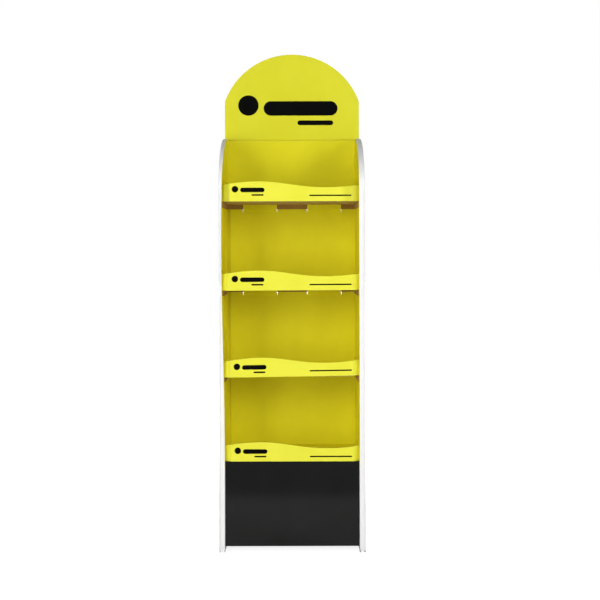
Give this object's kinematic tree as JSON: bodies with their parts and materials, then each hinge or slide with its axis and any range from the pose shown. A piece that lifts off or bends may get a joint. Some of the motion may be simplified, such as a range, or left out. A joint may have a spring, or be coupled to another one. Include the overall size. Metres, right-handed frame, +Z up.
{
  "type": "cardboard display stand",
  "caption": "Free-standing shelf stand folded from printed corrugated board, with wavy shelf fascias, a kick panel and an arched header card.",
  "frame": {"origin": "on the floor, under the middle of the stand", "axes": "+X to the right as seen from the front, +Y towards the back, +Z up; the front looks along -Y"},
  "size_m": [0.45, 0.35, 1.578],
  "materials": {
    "side_board": "satin",
    "back_board": "satin",
    "header_board": "satin",
    "kick_board": "satin",
    "shelf_board": "satin",
    "fascia_board": "satin"
  },
  "bodies": {
    "root": {"left_side_panel": "side_board", "right_side_panel": "side_board", "back_panel": "back_board", "header_card": "header_board", "kick_panel": "kick_board", "bottom_shelf": "shelf_board", "bottom_fascia": "fascia_board", "lower_shelf": "shelf_board", "lower_fascia": "fascia_board", "upper_shelf": "shelf_board", "upper_fascia": "fascia_board", "top_shelf": "shelf_board", "top_fascia": "fascia_board"}
  },
  "joints": []
}
